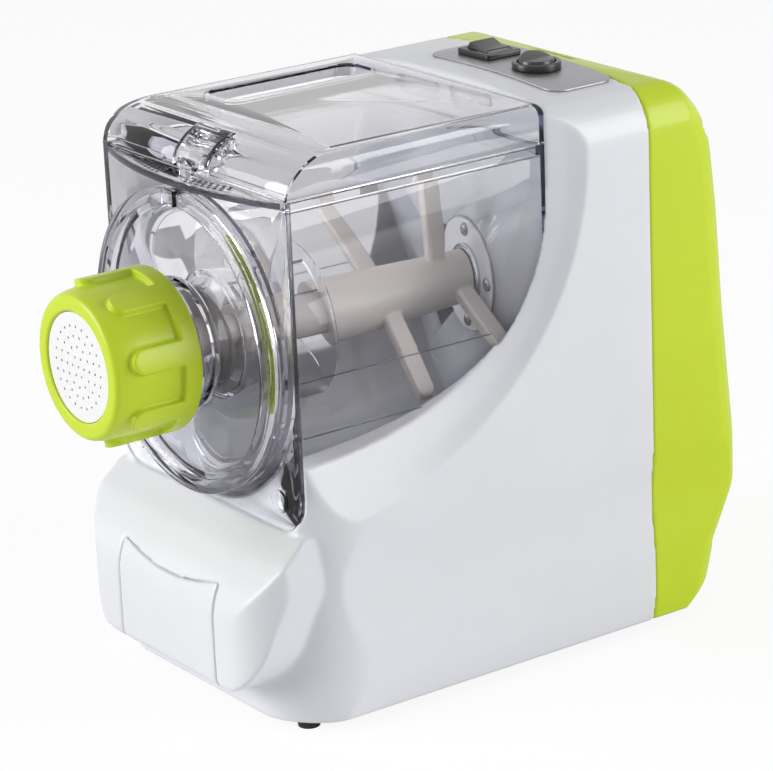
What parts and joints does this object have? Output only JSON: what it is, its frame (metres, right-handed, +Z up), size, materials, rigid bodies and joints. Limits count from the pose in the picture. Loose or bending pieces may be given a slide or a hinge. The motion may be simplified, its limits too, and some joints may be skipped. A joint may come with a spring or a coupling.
{
  "type": "electric pasta maker",
  "caption": "Countertop electric pasta maker: white and lime green housing, clear mixing bowl with hinged lid, paddle, auger, shaping disc, lock nut, drawer and rocker switches.",
  "frame": {"origin": "middle of the footprint of the whole object, on the standing surface", "axes": "+Z up, -Y towards the lock nut at the front, +X to the right-hand side seen from behind the machine"},
  "size_m": [0.181, 0.347, 0.3006],
  "materials": {
    "white_shell": "moulded white ABS, fine satin gloss",
    "green_shell": "moulded lime green ABS, satin gloss",
    "clear_plastic": "clear smoky polycarbonate, polished",
    "beige_plastic": "warm light grey nylon, satin",
    "white_plastic": "white acetal, smooth",
    "grey_plate": "silver grey painted sheet, satin",
    "black_plastic": "black nylon, satin",
    "rubber": "black rubber, matt",
    "steel": "stainless steel, turned",
    "motor_steel": "zinc plated steel",
    "cast_alloy": "die cast aluminium, as cast",
    "nylon": "natural nylon, moulded",
    "brass": "machined brass",
    "circuit_board": "green solder resist"
  },
  "bodies": {
    "body": {"housing": "white_shell", "rear_cover": "green_shell", "base_plate": "white_shell", "rubber_feet": "rubber", "base_screws": "steel", "cover_screws": "steel", "control_plate": "grey_plate", "main_switch_bezel": "black_plastic", "mode_switch_bezel": "black_plastic", "bowl": "clear_plastic", "hub_plate": "steel", "hub_screws": "steel", "shaft_seal": "steel", "front_bearing": "steel", "rear_bearing": "steel", "idler_pins": "steel", "gearbox_front": "cast_alloy", "gearbox_rear": "cast_alloy", "gearbox_pillars": "steel", "gearbox_screws": "steel", "motor_can": "motor_steel", "motor_end_cap": "black_plastic", "motor_screws": "steel", "motor_cradle": "black_plastic", "control_board": "circuit_board", "safety_switch": "black_plastic", "cord_gland": "rubber"},
    "drive": {"drive_shaft": "steel", "output_gear": "nylon", "mixing_paddle": "beige_plastic", "auger": "white_plastic", "shaft_clip": "steel"},
    "upper_idler": {"upper_idler_gear": "nylon"},
    "lower_idler": {"lower_idler_gear": "nylon"},
    "rotor": {"motor_rotor": "motor_steel", "motor_pinion": "brass", "cooling_fan": "black_plastic"},
    "head": {"front_cover": "clear_plastic", "extruder_barrel": "clear_plastic"},
    "disc": {"shaping_disc": "white_plastic"},
    "nut": {"lock_nut": "green_shell"},
    "lid": {"lid": "clear_plastic", "latch_pin": "steel"},
    "latch": {"lid_latch": "clear_plastic"},
    "drawer": {"drawer": "white_shell"},
    "main_rocker": {"main_rocker": "black_plastic"},
    "mode_rocker": {"mode_rocker": "black_plastic"}
  },
  "joints": [
    {"name": "drive_turn", "type": "hinge", "parent": "body", "child": "drive", "pos_m": [0, 0, 0.186], "axis": [0, 1, 0], "continuous": true},
    {"name": "upper_idler_turn", "type": "hinge", "parent": "body", "child": "upper_idler", "pos_m": [0, 0, 0.12975], "axis": [0, 1, 0], "continuous": true},
    {"name": "lower_idler_turn", "type": "hinge", "parent": "body", "child": "lower_idler", "pos_m": [0, 0, 0.086], "axis": [0, 1, 0], "continuous": true},
    {"name": "rotor_turn", "type": "hinge", "parent": "body", "child": "rotor", "pos_m": [0, 0, 0.05], "axis": [0, 1, 0], "continuous": true},
    {"name": "head_turn", "type": "hinge", "parent": "body", "child": "head", "pos_m": [0, 0, 0.186], "axis": [0, -1, 0], "range_deg": [0, 45]},
    {"name": "disc_slide", "type": "slide", "parent": "head", "child": "disc", "axis": [0, -1, 0], "range_m": [0, 0.009]},
    {"name": "nut_turn", "type": "hinge", "parent": "disc", "child": "nut", "pos_m": [0, 0, 0.186], "axis": [0, -1, 0], "range_deg": [0, 1080]},
    {"name": "lid_swing", "type": "hinge", "parent": "body", "child": "lid", "pos_m": [0, 0.0475, 0.2858], "axis": [-1, 0, 0], "range_deg": [0, 96]},
    {"name": "latch_lift", "type": "hinge", "parent": "lid", "child": "latch", "pos_m": [0, -0.0905, 0.2783], "axis": [-1, 0, 0], "range_deg": [0, 6], "stiffness_Nm_per_rad": 0.5},
    {"name": "drawer_slide", "type": "slide", "parent": "body", "child": "drawer", "axis": [0, -1, 0], "range_m": [0, 0.055]},
    {"name": "main_rocker_tilt", "type": "hinge", "parent": "body", "child": "main_rocker", "pos_m": [-0.011, 0.089, 0.2937], "axis": [0, -1, 0], "range_deg": [0, 20]},
    {"name": "mode_rocker_tilt", "type": "hinge", "parent": "body", "child": "mode_rocker", "pos_m": [0.028, 0.089, 0.2937], "axis": [0, -1, 0], "range_deg": [0, 20]}
  ],
  "couplings": [
    {"joint": "upper_idler_turn", "follows": "drive_turn", "ratio": -4},
    {"joint": "lower_idler_turn", "follows": "drive_turn", "ratio": 16},
    {"joint": "rotor_turn", "follows": "drive_turn", "ratio": -80},
    {"joint": "disc_slide", "follows": "nut_turn", "m_per_rad": 0.00047746}
  ]
}
